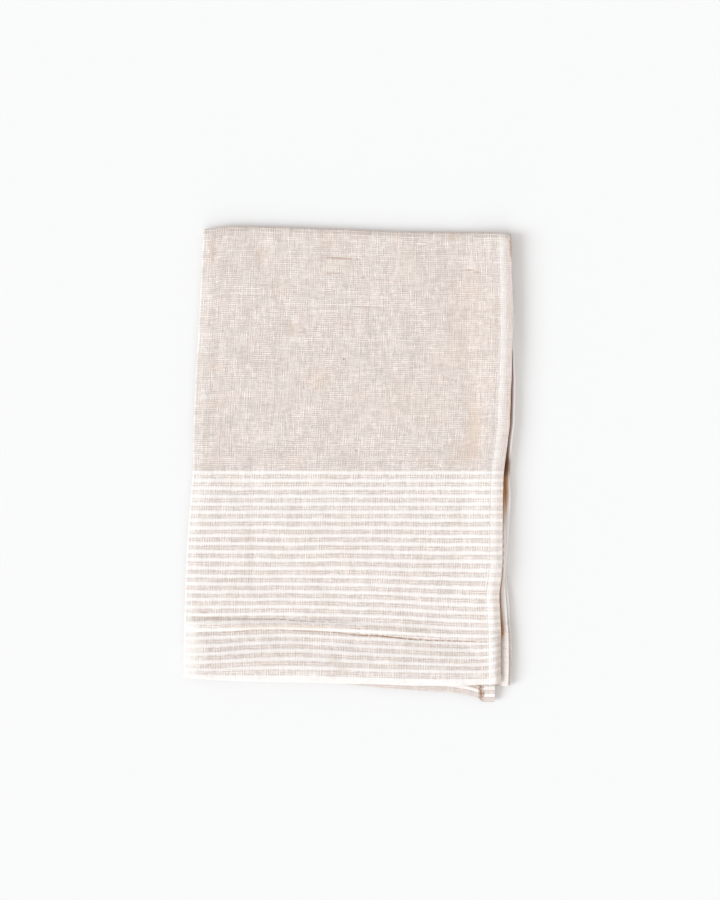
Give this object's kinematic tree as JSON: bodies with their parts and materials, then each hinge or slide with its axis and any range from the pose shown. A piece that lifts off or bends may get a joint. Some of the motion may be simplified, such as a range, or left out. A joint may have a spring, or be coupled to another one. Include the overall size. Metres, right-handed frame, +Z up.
{
  "type": "tea towel",
  "caption": "Woven cotton tea towel with hemmed edges and a band of narrow white stripes at one end, folded in four and lying flat.",
  "frame": {"origin": "middle of the underside of the folded towel, on the surface that it lies on", "axes": "+Y towards the top fold, along the longer side; +X towards the free side hems; +Z up, out of the cloth"},
  "size_m": [0.2624, 0.3781, 0.011],
  "materials": {
    "washed_cotton": "matt washed plain weave, off-white warp with sand-coloured weft and white weft stripes"
  },
  "bodies": {
    "root": {"towel_cloth": "washed_cotton"}
  },
  "joints": []
}
